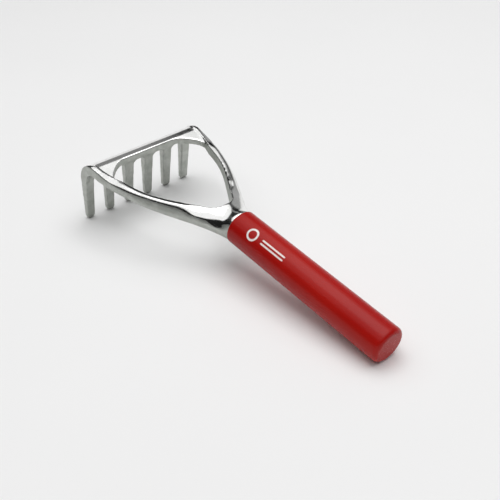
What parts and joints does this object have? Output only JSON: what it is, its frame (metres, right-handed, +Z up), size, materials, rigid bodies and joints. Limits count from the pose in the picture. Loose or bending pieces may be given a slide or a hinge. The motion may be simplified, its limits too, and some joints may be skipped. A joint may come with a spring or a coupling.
{
  "type": "hand rake",
  "caption": "Cast hand rake with short broad tines on an open D-shaped frame and a smooth round sleeved handle.",
  "frame": {"origin": "centre of the footprint on the surface the tool rests on, under tine tips and handle heel", "axes": "+X from the tines to the handle's end along the tool, +Y across the tines, +Z up from the surface"},
  "size_m": [0.2756, 0.1002, 0.0547],
  "materials": {
    "cast_metal": "polished top, satin as-cast sides",
    "core_plastic": "matt moulded",
    "pin_steel": "bright spring steel",
    "red_sleeve": "glossy, smooth"
  },
  "bodies": {
    "root": {"rake_head": "cast_metal", "handle_core": "core_plastic", "spring_pin": "pin_steel", "grip_sleeve": "red_sleeve"}
  },
  "joints": []
}
